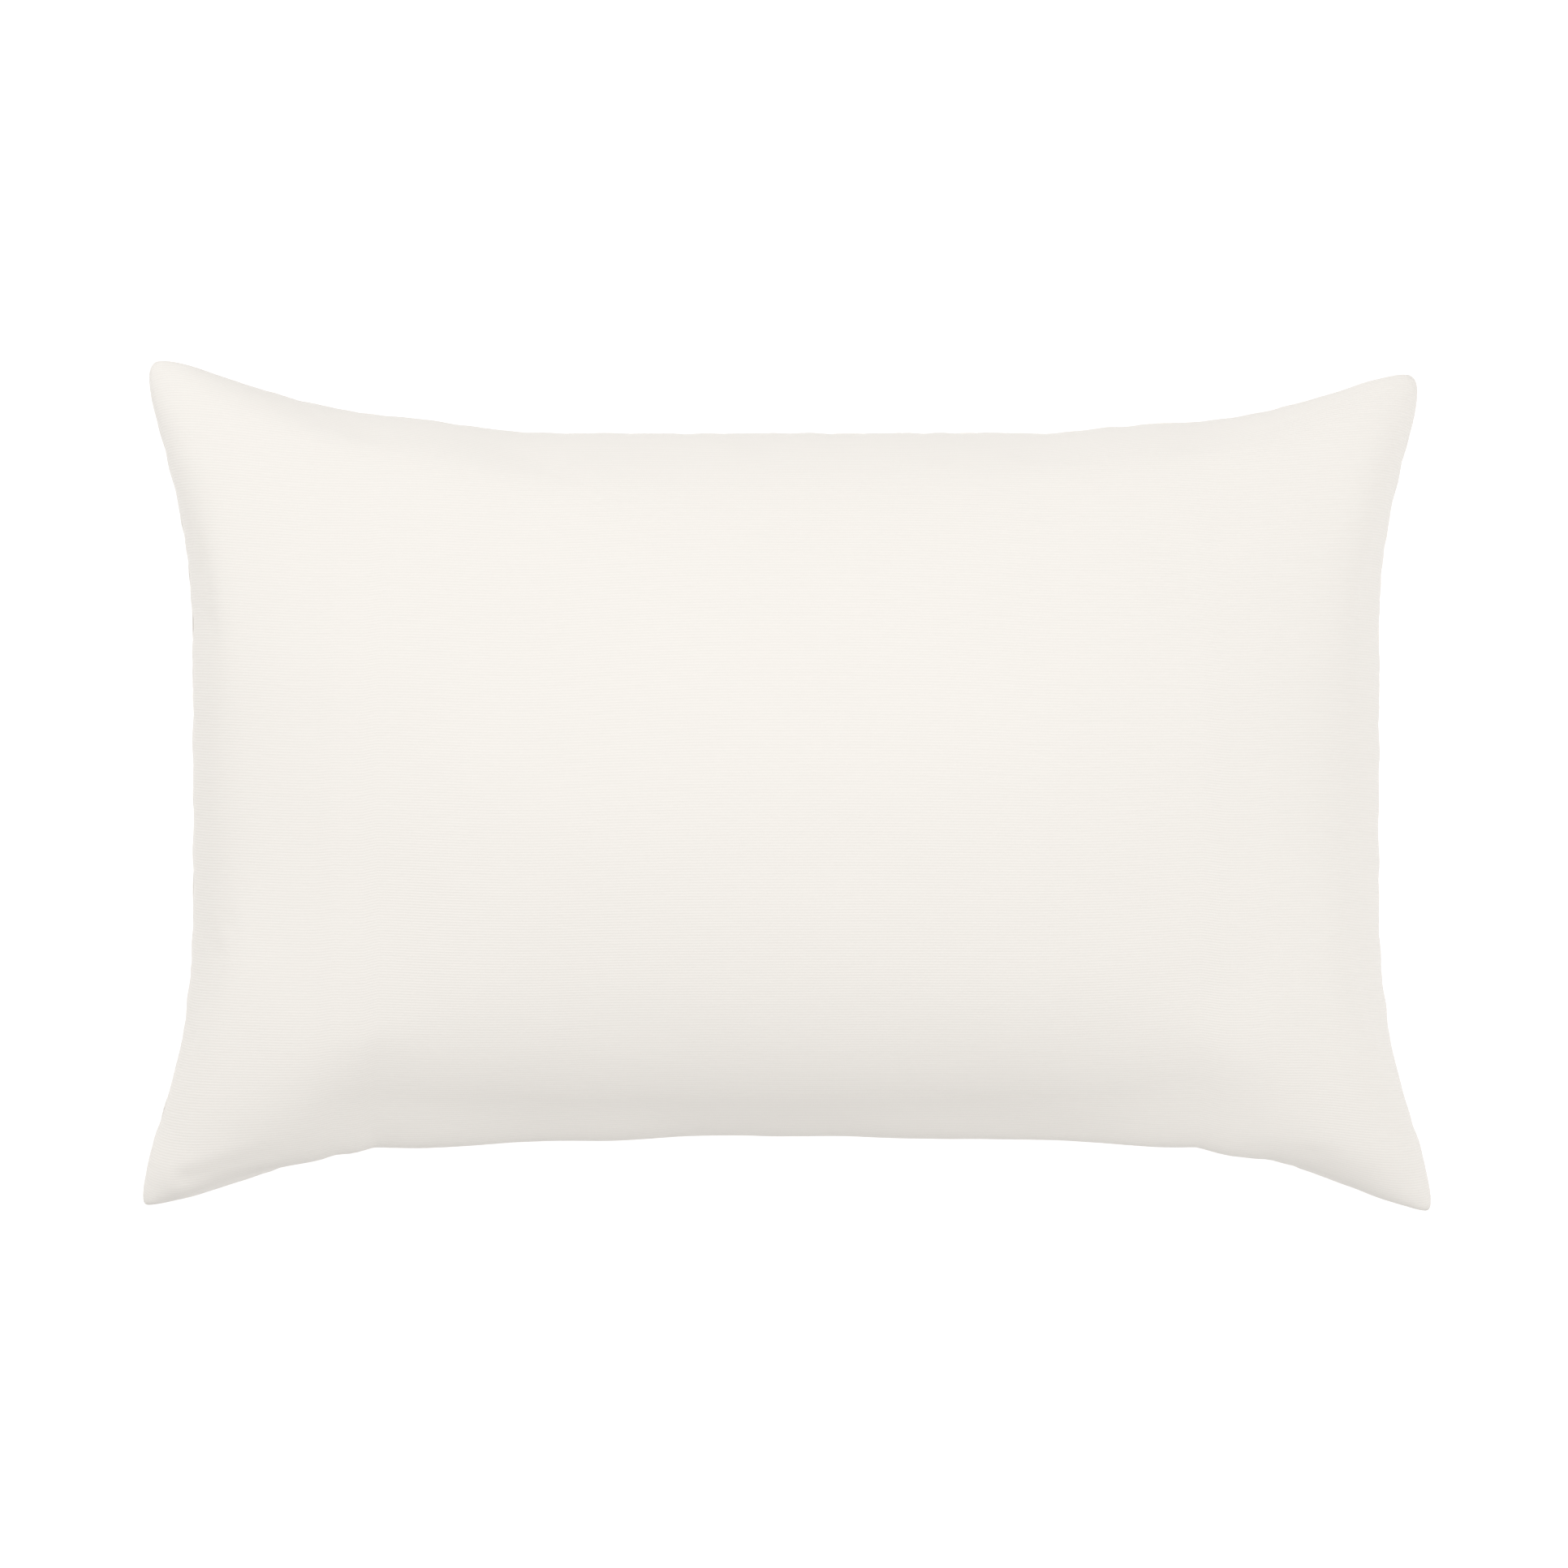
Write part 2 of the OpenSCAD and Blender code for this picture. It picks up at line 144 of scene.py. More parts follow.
def surface(side, u, v):
    """Point of the pillow's outer surface, before the cloth relaxes."""
    x, y = outline(u, v)
    level = SEAM_Z + ear_lift(u, v)
    if side == FRONT:
        # the filling lies fuller towards the zip and the left ear, with a sharper shoulder there
        left = smooth(-u / 0.8)
        low = smooth(-v / 0.6) * (0.1 + 0.06 * left)
        height = (RISE - FOLD_R) * dome(u, 0.5 - 0.06 * left) * dome(v, 0.5 - low)
        over = OVERHANG + END_OVERHANG * smooth((np.abs(u) - 0.05) / 0.65)
        fade = np.where(u < 0, 0.28, 0.23)   # share of the half width over which the bulge ends
        over = over * (1 - smooth((np.abs(u) - STRAIGHT_U) / fade)) * v ** 4
        bump = np.where((v < 0) & (height < OVERHANG_H), np.sin(np.pi * height / OVERHANG_H) ** 2, 0)
        return np.stack([x, y - over * bump, level + height], -1)
    depth = (FALL - FOLD_R) * dome(u, 0.5) * dome(v, 0.5)
    return np.stack([x, y, on_bed(level - depth, 7 * MM)], -1)


def even_grid(side, s, t):
    """Surface points at shares s, t (-1 to 1) of the way along the cloth, so that the flat cut fits."""
    u, v = np.meshgrid(np.sin(s * np.pi / 2), np.sin(t * np.pi / 2), indexing="ij")
    for _ in range(12):
        for lines, steps, axis in ((u, s, 0), (v, t, 1)):
            points = surface(side, u, v)
            length = np.linalg.norm(np.diff(points, axis=axis), axis=-1)
            length = np.cumsum(length, axis=axis)
            for k in range(lines.shape[1 - axis]):
                line = lines[:, k] if axis == 0 else lines[k]
                run = np.concatenate([[0], length[:, k] if axis == 0 else length[k]])
                line[:] = np.interp((steps + 1) / 2 * run[-1], run, line.copy())
    return surface(side, u, v)


# ---------------------------------------------------------------- cloth simulation

SIM_CELLS = (90, 60)
SIM_FRAMES = 24
SIM_CAP = 9 * MM                             # farthest that a point may move
FILLING_HOLD = 0.05
ZIP_HOLD_MARGIN = 20 * MM                    # how far past the chain its edge is held firmly


def grid_index(cells):
    """Point numbers of both panels; the back shares the front's points along the seam."""
    nx, ny = cells[0] + 1, cells[1] + 1
    front = np.arange(nx * ny).reshape(nx, ny)
    back = front.copy()
    back[1:-1, 1:-1] = nx * ny + np.arange((nx - 2) * (ny - 2)).reshape(nx - 2, ny - 2)
    return front, back


def quads(index, flip=False):
    a, b, c, d = index[:-1, :-1], index[1:, :-1], index[1:, 1:], index[:-1, 1:]
    corners = (a, d, c, b) if flip else (a, b, c, d)
    return np.stack(corners, -1).reshape(-1, 4)


def relaxed_cover():
    """How far each point of both panels moves as the cut cloth settles over the filling."""
    s, t = np.linspace(-1, 1, SIM_CELLS[0] + 1), np.linspace(-1, 1, SIM_CELLS[1] + 1)
    grids = {side: even_grid(side, s, t) for side in (FRONT, BACK)}
    front, back = grid_index(SIM_CELLS)
    count = back.max() + 1
    base, cut = np.zeros((count, 3)), np.zeros((count, 3))
    flat = np.stack(np.meshgrid(s * CUT[0], t * CUT[1], indexing="ij"), -1)
    for index, side in ((back, BACK), (front, FRONT)):
        base[index] = grids[side]
        cut[index, :2] = flat
        cut[index, 2] = SEAM_Z
    faces = np.concatenate([quads(front), quads(back, flip=True)])
    mesh = bpy.data.meshes.new("relaxing")
    mesh.from_pydata(base.tolist(), [], faces.tolist())
    cloth_piece = bpy.data.objects.new("relaxing", mesh)
    scene.collection.objects.link(cloth_piece)
    cloth_piece.shape_key_add(name="Basis")
    rest = cloth_piece.shape_key_add(name="cut")
    rest.data.foreach_set("co", cut.ravel())
    modifier = cloth_piece.modifiers.new("Cloth", "CLOTH")
    settings = modifier.settings
    settings.rest_shape_key = rest
    settings.quality = 8
    settings.mass = 0.3
    settings.air_damping = 2
    settings.tension_stiffness = 40
    settings.compression_stiffness = 50
    settings.shear_stiffness = 20
    settings.bending_stiffness = 1.5
    settings.tension_damping = 10
    settings.compression_damping = 10
    settings.use_pressure = True
    settings.uniform_pressure_force = 0.45
    settings.effector_weights.gravity = 0
    # the filling holds the cloth loosely everywhere, and the zip holds its own edge firmly
    hold = cloth_piece.vertex_groups.new(name="hold")
    hold.add(list(range(count)), FILLING_HOLD, "REPLACE")
    on_zip = np.abs(grids[FRONT][:, 0, 0]) < CHAIN_END + ZIP_HOLD_MARGIN
    hold.add(front[on_zip, 0].tolist(), 1, "REPLACE")
    settings.vertex_group_mass = "hold"
    modifier.point_cache.frame_start = 1
    modifier.point_cache.frame_end = SIM_FRAMES
    for step in range(1, SIM_FRAMES + 1):
        scene.frame_set(step)
    settled = cloth_piece.evaluated_get(bpy.context.evaluated_depsgraph_get()).to_mesh()
    moved = np.zeros(count * 3)
    settled.vertices.foreach_get("co", moved)
    moved = moved.reshape(-1, 3) - base
    bpy.data.objects.remove(cloth_piece)
    scene.frame_set(1)
    length = np.linalg.norm(moved, axis=1, keepdims=True)
    print("relaxed by", length.mean() / MM, "mm on average,", length.max() / MM, "mm at most")
    moved *= SIM_CAP * np.tanh(length / SIM_CAP) / np.maximum(length, 1e-9)
    return {side: seam_kept(moved[index]) for index, side in ((front, FRONT), (back, BACK))}


def seam_kept(moved):
    """The movement with the seam's own share of it, carried smoothly across the panel, taken off."""
    s = np.linspace(0, 1, moved.shape[0])[:, None, None]
    t = np.linspace(0, 1, moved.shape[1])[None, :, None]
    sides = (1 - s) * moved[:1] + s * moved[-1:]
    longs = (1 - t) * moved[:, :1] + t * moved[:, -1:]
    left_ears = (1 - t) * moved[0, 0] + t * moved[0, -1]
    right_ears = (1 - t) * moved[-1, 0] + t * moved[-1, -1]
    return moved - (sides + longs - (1 - s) * left_ears - s * right_ears)


def resampled(grid, lines, axis):
    """Catmull-Rom interpolation of an even grid at the given line positions, -1 to 1."""
    grid = np.moveaxis(grid, axis, 0)
    padded = np.concatenate([2 * grid[:1] - grid[1:2], grid, 2 * grid[-1:] - grid[-2:-1]])
    place = (lines + 1) / 2 * (len(grid) - 1)
    cell = np.clip(np.floor(place).astype(int), 0, len(grid) - 2)
    f = (place - cell)[:, None, None]
    a, b, c, d = (padded[cell + k] for k in range(4))
    out = b + 0.5 * f * (c - a + f * (2 * a - 5 * b + 4 * c - d + f * (3 * (b - c) + d - a)))
    return np.moveaxis(out, 0, axis)


def settled_patch(side, s, t):
    """Points of a part of the settled surface, between any two shares each way."""
    whole_s, whole_t = (np.linspace(-1, 1, cells + 1) for cells in SIM_CELLS)
    return resampled(resampled(settled(side, whole_s, whole_t), s, 0), t, 1)


def settled(side, s, t):
    """The cover's surface at the grid of shares s, t, after the cloth has settled."""
    grid = even_grid(side, s, t) + resampled(resampled(relaxed[side], s, 0), t, 1)
    if side == BACK:
        grid[..., 2] = on_bed(grid[..., 2], 2 * MM)
    return grid


relaxed = relaxed_cover()

# ---------------------------------------------------------------- mesh helpers

def add_piece(name, mesh, body, node, material):
    piece = bpy.data.objects.new(name, mesh)
    scene.collection.objects.link(piece)
    mesh.materials.clear()
    mesh.materials.append(material)
    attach(piece, body)
    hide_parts(node)
    return piece


def mesh_from(name, points, faces, uv=None, smooth_shading=True):
    mesh = bpy.data.meshes.new(name)
    mesh.from_pydata(np.asarray(points).tolist(), [], [list(map(int, f)) for f in faces])
    if uv is not None:
        layer = mesh.uv_layers.new(name="cut")
        corner = np.zeros(len(mesh.loops), dtype=np.int32)
        mesh.loops.foreach_get("vertex_index", corner)
        layer.data.foreach_set("uv", np.asarray(uv)[corner].astype(np.float32).ravel())
    mesh.polygons.foreach_set("use_smooth", [smooth_shading] * len(mesh.polygons))
    mesh.update()
    return mesh


def applied(mesh, *modifiers):
    """The mesh after the given modifiers, each a type and its settings."""
    holder = bpy.data.objects.new("holder", mesh)
    scene.collection.objects.link(holder)
    for kind, values in modifiers:
        modifier = holder.modifiers.new(kind, kind)
        for key, value in values.items():
            setattr(modifier, key, value)
    graph = bpy.context.evaluated_depsgraph_get()
    result = bpy.data.meshes.new_from_object(holder.evaluated_get(graph))
    bpy.data.objects.remove(holder)
    return result


def noise_field(points):
    return np.array([noise.noise(Vector(p)) for p in points.reshape(-1, 3)]).reshape(points.shape[:-1])


def normals_of(points, side):
    across, along = np.gradient(points, axis=0), np.gradient(points, axis=1)
    normal = np.cross(across, along) * side
    return normal / np.maximum(np.linalg.norm(normal, axis=-1, keepdims=True), 1e-12)


def seam_lines(count, edge=0.75):
    """Line positions from -1 to 1, closer together towards the seams."""
    t = np.linspace(-1, 1, count + 1)
    return (1 - edge) * t + edge * np.sin(t * np.pi / 2)


# ---------------------------------------------------------------- sewn panels

COVER_CELLS = (200, 140)
RIDGE = 0.7 * MM                             # how far the sewn edge stands out
RIDGE_REACH = 7 * MM
# The crease that runs in from the lower left ear, from its start to its end
CREASE_START = HALF * [-0.932, -0.922]
CREASE_END = HALF * [-0.8, -0.868]
CREASE_DEPTH = 1.1 * MM
CREASE_W = 4.5 * MM
ZIP_FADE = 14 * MM                           # length over which the slit closes past the chain
# Depth of each turned-in ring as a share of the allowance where the seam is sewn, its depth
# beside the zip, and how far it has risen there as a share of the zip's room
TURN_IN = (
    (0.12, 1.5 * MM, 0.16), (0.14, 1.75 * MM, 0.55), (0.16, 1.9 * MM, 0.9),
    (0.22, 2.7 * MM, 1), (0.6, 7 * MM, 1), (1, 12 * MM, 1),
)


def zip_share(x, t):
    """1 on the lower seam along the zip, 0 elsewhere, with soft ends."""
    return np.where(t < -0.999, 1 - smooth((np.abs(x) - CHAIN_END) / ZIP_FADE), 0.0)


def crease(grid):
    """Depth of the ear's crease, which has soft shoulders and is deepest near its start."""
    line = CREASE_END - CREASE_START
    share = np.clip((grid[..., :2] - CREASE_START) @ line / (line @ line), 0, 1)
    reach = np.linalg.norm(grid[..., :2] - CREASE_START - share[..., None] * line, axis=-1) / CREASE_W
    return CREASE_DEPTH * (np.exp(-reach ** 2) - 0.5 * np.exp(-(reach - 2) ** 2)) * (1 - 0.8 * share)


def dressed(side, grid, s, t, seed):
    """The relaxed surface with its seam ridge, gathers, soft hollows and small creases."""
    S, T = np.meshgrid(s, t, indexing="ij")
    to_side = (1 - np.abs(S)) * CUT[0]
    to_long = (1 - np.abs(T)) * CUT[1]
    to_seam = np.minimum(to_side, to_long)
    near_zip = (T < 0) * (1 - smooth((np.abs(grid[..., 0]) - CHAIN_END) / (25 * MM)))
    near_zip = near_zip * np.exp(-to_long / (14 * MM))
    normal = normals_of(grid, side)
    flat = np.stack([S * CUT[0], T * CUT[1], np.full_like(S, seed)], -1)

    def gathers(along, reach, offset):
        place = [along / (17 * MM), reach / (60 * MM), np.full_like(S, seed + offset)]
        return noise_field(np.stack(place, -1)) * np.exp(-reach / (13 * MM))

    gather = gathers(T * CUT[1], to_side, 3) + gathers(S * CUT[0], to_long, 0) * (1 - near_zip)
    ears = 1 - smooth((np.abs(S * T) - 0.75) / 0.2)
    hollow = noise_field(flat * [1 / 0.13, 1 / 0.11, 1])
    ripple = noise_field(flat * [1 / 0.045, 1 / 0.04, 1] + 7)
    furrow = noise_field(np.stack([S * CUT[0] / 0.06, T * 2, np.full_like(S, seed + 3)], -1))
    lower_band = np.exp(-((to_long - 34 * MM) / (20 * MM)) ** 2) * (T < 0)
    lift = (
        1.1 * MM * gather * (0.35 + 0.65 * ears)
        + 2.2 * MM * hollow * smooth(to_seam / (60 * MM))
        + 0.45 * MM * ripple * smooth(to_seam / (25 * MM))
        + 2.4 * MM * furrow * lower_band
    )
    if side == FRONT:
        lift -= crease(grid)
    out = grid + normal * lift[..., None]

    # the sewn edge stands out a little from the full cloth on either side of it
    def ridge(reach):
        return reach / RIDGE_REACH * np.exp(1 - reach / RIDGE_REACH)

    out[..., 0] -= np.sign(S) * RIDGE * ridge(to_side) * ears
    beside_zip = 0.1 if side == FRONT else 2
    out[..., 1] -= np.sign(T) * RIDGE * ridge(to_long) * ears * np.where(T < 0, beside_zip, 1)
    return out


def edge_order(shape):
    """Row and column numbers of a grid's edge, anticlockwise from the lower left ear."""
    nx, ny = shape[0] - 1, shape[1] - 1
    rows = list(range(nx)) + [nx] * ny + list(range(nx, 0, -1)) + [0] * ny
    columns = [0] * nx + list(range(ny)) + [ny] * nx + list(range(ny, 0, -1))
    return np.array(rows), np.array(columns)


def strip(first, second):
    """Quads between two closed rings of point numbers."""
    return np.stack([np.roll(first, -1), first, second, np.roll(second, -1)], -1)


def turned(faces, flip):
    return faces[:, ::-1] if flip else faces


def inset(points, s, t, depth):
    """Edge points moved in from the seam, square to each side and mitred at the ears."""
    out = points.copy()
    depth = np.broadcast_to(depth, len(points))
    shrink = 1 - depth[:, None] / HALF
    on_side, on_long = np.abs(s) > 0.9999, np.abs(t) > 0.9999
    out[:, 0] = np.where(on_side, points[:, 0] - np.sign(s) * depth, points[:, 0] * shrink[:, 0])
    out[:, 1] = np.where(on_long, points[:, 1] - np.sign(t) * depth, points[:, 1] * shrink[:, 1])
    return out


def sewn_panel(name, side, grid, s, t, gap, fold_r, allowance, thickness, room):
    """One panel with its thickness: outer surface, rolled edge and turned-in seam allowance."""
    rows, columns = edge_order(grid.shape)
    edge, es, et = grid[rows, columns], s[rows], t[columns]
    zipped = zip_share(edge[:, 0], et) * (room > 0)
    gap = gap + (SLIT_GAP - gap) * zipped
    level = SEAM_Z + ear_lift(es, et) * (1 - zipped)

    # rings of the rolled and turned-in cloth: depth inside the seam, height above the gap
    turns = np.radians([0, 22, 45, 67, 90])[:, None]
    depths = [fold_r * (1 - np.cos(turns)) + 0 * zipped]
    heights = [fold_r * (1 - np.sin(turns)) + 0 * zipped]
    for plain, raised, share in TURN_IN:
        depths.append([allowance * plain * (1 - zipped) + raised * zipped])
        heights.append([room * share * zipped])
    depths, heights = np.concatenate(depths), np.concatenate(heights)
    slope = np.stack([np.gradient(depths, axis=0), np.gradient(heights, axis=0)])
    slope[:, 0] = np.array([[0], [-1]])
    slope /= np.linalg.norm(slope, axis=0)

    index = np.arange(grid[..., 0].size).reshape(grid.shape[:2])
    flat = np.stack(np.meshgrid(s * CUT[0], t * CUT[1], indexing="ij"), -1).reshape(-1, 2)
    points, uv, faces = [], [], []
    for layer in (0, thickness):
        first = sum(map(len, points))
        outer = layer == 0
        ring_depths = depths - layer * slope[1]
        ring_heights = heights + layer * slope[0]
        sheet = grid - normals_of(grid, side) * layer
        sheet[rows, columns] = inset(edge, es, et, ring_depths[0])
        points.append(sheet.reshape(-1, 3))
        uv.append(flat)
        faces.append(quads(index + first, flip=(side == BACK) == outer))
        previous = index[rows, columns] + first
        for depth, height in zip(ring_depths[1:], ring_heights[1:]):
            ring = inset(edge, es, et, depth)
            ring[:, 2] = level + side * (gap + height)
            number = sum(map(len, points)) + np.arange(len(ring))
            points.append(ring)
            uv.append(flat[index[rows, columns]] * (1 + (depth[:, None] + fold_r) / CUT))
            faces.append(turned(strip(previous, number), (side == BACK) == outer))
            previous = number
        if outer:
            rim = previous
    faces.append(turned(strip(rim, previous), side == BACK))
    return mesh_from(name, np.concatenate(points), np.concatenate(faces), np.concatenate(uv))


def cover_grid(side):
    s, t = seam_lines(COVER_CELLS[0]), seam_lines(COVER_CELLS[1])
    grid = settled(side, s, t)
    grid = dressed(side, grid, s, t, seed=1.3 if side == FRONT else 5.7)
    rows, columns = edge_order(grid.shape)
    zipped = zip_share(grid[rows, columns, 0], t[columns])
    gap = SEAM_GAP + (SLIT_GAP - SEAM_GAP) * zipped
    # the sewn edge is level, and straight along the zip
    level = SEAM_Z + ear_lift(s[rows], t[columns]) * (1 - zipped)
    grid[..., 2] += side * (SEAM_GAP + FOLD_R)
    grid[rows, columns, 2] = level + side * (gap + FOLD_R)
    grid[rows, columns, 1] += (LIP_Y - grid[rows, columns, 1]) * zipped
    if side == BACK:
        grid[..., 2] = on_bed(grid[..., 2] - 1.5 * MM, 1.5 * MM)
    return s, t, grid


def inner_grid(side, inset_by, cells, lumps=0.0):
    """The settled surface brought inset_by inside the cover's seam, and a little under its crown."""
    s, t = seam_lines(cells[0], 0.5), seam_lines(cells[1], 0.5)
    grid = brought_in(settled(side, s, t), inset_by)
    if lumps:
        to_seam = np.minimum(((1 - np.abs(s)) * CUT[0])[:, None], ((1 - np.abs(t)) * CUT[1])[None])
        lump = noise_field(grid / (38 * MM)) + 0.5 * noise_field(grid / (16 * MM))
        depth = lumps * (1 + lump) * smooth(to_seam / (20 * MM))
        grid -= normals_of(grid, side) * depth[..., None]
    return s, t, grid


def brought_in(points, inset_by):
    """Points brought in towards the middle of the pillow, inset_by at its ears."""
    middle = np.array([0, 0, SEAM_Z])
    share = 1 - inset_by * np.array([1 / HALF[0], 1 / HALF[1], 0.25 / RISE])
    return middle + (points - middle) * share


def repeated(template, faces, centres, along, up):
    """Copies of a template mesh, its X turned to along and its Z to up at each centre."""
    along = along / np.linalg.norm(along, axis=1, keepdims=True)
    across = np.cross(up, along)
    across /= np.linalg.norm(across, axis=1, keepdims=True)
    up = np.cross(along, across)
    turned = sum(template[None, :, k, None] * axis[:, None] for k, axis in enumerate((along, across, up)))
    points = (centres[:, None] + turned).reshape(-1, 3)
    count = len(template)
    return points, [[v + k * count for v in face] for k in range(len(centres)) for face in faces]


def stitch_template(length, radius, sides=6):
    """One lockstitch: a short thread that dips at both ends."""
    stations = np.array([-0.5, -0.44, -0.25, 0, 0.25, 0.44, 0.5]) * length
    widths = np.array([0.3, 0.75, 1, 1.05, 1, 0.75, 0.3]) * radius
    dips = -np.array([1.1, 0.5, 0.1, 0, 0.1, 0.5, 1.1]) * radius
    angle = np.arange(sides) * 2 * np.pi / sides
    points = np.array([
        [x, w * math.cos(a), d + w * math.sin(a)]
        for x, w, d in zip(stations, widths, dips) for a in angle
    ])
    index = np.arange(len(points)).reshape(len(stations), sides)
    around = np.roll(index, -1, axis=1)
    faces = np.stack([index[:-1], around[:-1], around[1:], index[1:]], -1).reshape(-1, 4).tolist()
    last = (len(stations) - 1) * sides
    return points, [list(range(sides))[::-1], [last + k for k in range(sides)]] + faces


def walked(path, pitch):
    """Points and directions at even steps along a path of points."""
    run = np.concatenate([[0], np.cumsum(np.linalg.norm(np.diff(path, axis=0), axis=1))])
    count = int(run[-1] / pitch)
    places = (np.arange(count) + 0.5) * run[-1] / count
    at = np.stack([np.interp(places, run, path[:, k]) for k in range(3)], -1)
    ahead = np.stack([np.interp(places + 0.1 * pitch, run, path[:, k]) for k in range(3)], -1)
    behind = np.stack([np.interp(places - 0.1 * pitch, run, path[:, k]) for k in range(3)], -1)
    return at, ahead - behind


def stitched(name, paths, pitch, radius):
    """A row of stitches along each path."""
    template, template_faces = stitch_template(pitch * 0.86, radius)
    points, faces = [], []
    first = 0
    for path in paths:
        at, along = walked(path, pitch)
        ups = np.broadcast_to(np.array([0, 0, 1.0]), at.shape)
        made, made_faces = repeated(template, template_faces, at, along, ups)
        faces += [[v + first for v in face] for face in made_faces]
        points.append(made)
        first += len(made)
    return mesh_from(name, np.concatenate(points), faces)


def tube(name, path, radius, sides=8):
    """A closed tube of one radius along a path of points."""
    along = np.gradient(path, axis=0)
    along /= np.linalg.norm(along, axis=1, keepdims=True)
    up = np.array([0.0, 0.0, 1.0]) + 0 * along
    up[np.abs(along[:, 2]) > 0.9] = (0, 1, 0)
    first = np.cross(along, up)
    first /= np.linalg.norm(first, axis=1, keepdims=True)
    second = np.cross(along, first)
    angle = np.arange(sides) * 2 * np.pi / sides
    ring = first[:, None] * np.cos(angle)[None, :, None] + second[:, None] * np.sin(angle)[None, :, None]
    points = (path[:, None] + radius * ring).reshape(-1, 3)
    index = np.arange(len(points)).reshape(len(path), sides)
    around = np.roll(index, -1, axis=1)
    faces = np.stack([index[:-1], around[:-1], around[1:], index[1:]], -1).reshape(-1, 4).tolist()
    return mesh_from(name, points, faces + [index[0][::-1].tolist(), index[-1].tolist()])


def joined(name, meshes):
    """One mesh of several."""
    made = bmesh.new()
    for mesh in meshes:
        made.from_mesh(mesh)
    result = bpy.data.meshes.new(name)
    made.to_mesh(result)
    made.free()
    return result


def softened(node, width, segments=2):
    """A copy of a CAD node's mesh with its hard edges rounded."""
    made = bmesh.new()
    made.from_mesh(frame["nodes"][node].data)
    bmesh.ops.remove_doubles(made, verts=made.verts, dist=0.002 * MM)
    bmesh.ops.dissolve_limit(made, angle_limit=math.radians(4), verts=made.verts, edges=made.edges)
    mesh = bpy.data.meshes.new(node)
    made.to_mesh(mesh)
    made.free()
    mesh = applied(mesh, ("BEVEL", {"width": width, "segments": segments, "limit_method": "ANGLE",
                                    "angle_limit": math.radians(35), "harden_normals": True}))
    mesh.polygons.foreach_set("use_smooth", [True] * len(mesh.polygons))
    return mesh


# ---------------------------------------------------------------- materials

class Graph:
    """A node material, built a node at a time."""

    def __init__(self, name, constants):
        self.material = bpy.data.materials.new(name)
        self.material.use_nodes = True
        self.tree = self.material.node_tree
        self.shader = self.tree.nodes["Principled BSDF"]
        for key, value in constants.items():
            self.shader.inputs[key].default_value = value

    def feed(self, node, key, value):
        if isinstance(value, bpy.types.NodeSocket):
            self.tree.links.new(value, node.inputs[key])
        else:
            node.inputs[key].default_value = value

    def node(self, kind, inputs, **settings):
        made = self.tree.nodes.new("ShaderNode" + kind)
        for key, value in settings.items():
            setattr(made, key, value)
        for key, value in inputs.items():
            self.feed(made, key, value)
        return made

    def math(self, operation, *values):
        return self.node("Math", dict(enumerate(values)), operation=operation).outputs[0]

    def wave(self, value, pitch, phase=0.0):
        """0 to 1 and back once a pitch."""
        turn = self.math("MULTIPLY_ADD", value, 2 * math.pi / pitch, phase)
        return self.math("MULTIPLY_ADD", self.math("SINE", turn), 0.5, 0.5)

    def noise(self, vector, size, stretch=(1, 1, 1), detail=2):
        """Noise from 0 to 1 whose lumps are about size metres across."""
        scaled = self.node("VectorMath", {0: vector, 1: stretch}, operation="MULTIPLY").outputs[0]
        return self.node("TexNoise", {"Vector": scaled, "Scale": 1 / size, "Detail": detail}).outputs[0]

    def blend(self, share, first, second):
        made = self.node("Mix", {"Factor": share}, data_type="RGBA")
        self.feed(made, 6, first)
        self.feed(made, 7, second)
        return made.outputs[2]

    def uv(self):
        return self.node("UVMap", {}, uv_map="cut").outputs[0]

    def place(self):
        return self.node("TexCoord", {}).outputs["Object"]

    def split(self, vector):
        return self.node("SeparateXYZ", {0: vector}).outputs

    def finish(self, colour, height, depth, strength=0.6):
        self.feed(self.shader, "Base Color", colour)
        relief = self.node("Bump", {"Height": height, "Distance": depth, "Strength": strength})
        self.feed(self.shader, "Normal", relief.outputs[0])
        return self.material


def shade(colour, share):
    return (*(c * share for c in colour), 1)


def woven(name, colour, rib, warp, shadow, depth, sheen=0.15, wander=0.25, mottle=0.02):
    """Plain-woven cloth with weft ribs along U: rib and warp are the yarns' pitches in metres."""
    g = Graph(name, {"Roughness": 0.85, "Sheen Weight": sheen, "Sheen Roughness": 0.6,
                     "Specular IOR Level": 0.18})
    uv = g.uv()
    u, v, _ = g.split(uv)
    drift = g.noise(uv, 18 * MM, (0.5, 1, 1))
    v = g.math("MULTIPLY_ADD", drift, wander * rib, v)
    u = g.math("MULTIPLY_ADD", g.noise(uv, 14 * MM, (1, 0.5, 1)), wander * rib, u)
    weft = g.wave(v, rib)
    row = g.math("FLOOR", g.math("DIVIDE", v, rib))
    crossing = g.math("MULTIPLY_ADD", row, math.pi, g.math("MULTIPLY", u, 2 * math.pi / warp))
    over = g.math("MULTIPLY_ADD", g.math("SINE", crossing), 0.5, 0.5)
    slub = g.noise(uv, rib, (0.06, 1, 1), 3)
    height = g.math("ADD", g.math("MULTIPLY", weft, 0.6), g.math("MULTIPLY", over, 0.25))
    height = g.math("MULTIPLY_ADD", slub, 0.3, height)
    low, high = shade(colour, 1 - shadow), shade(colour, 1)
    cloth = g.blend(height, low, high)
    patch = g.noise(uv, 60 * MM, detail=4)
    cloth = g.blend(g.math("MULTIPLY", patch, mottle * 5), cloth, shade(colour, 0.9))
    return g.finish(cloth, height, depth)


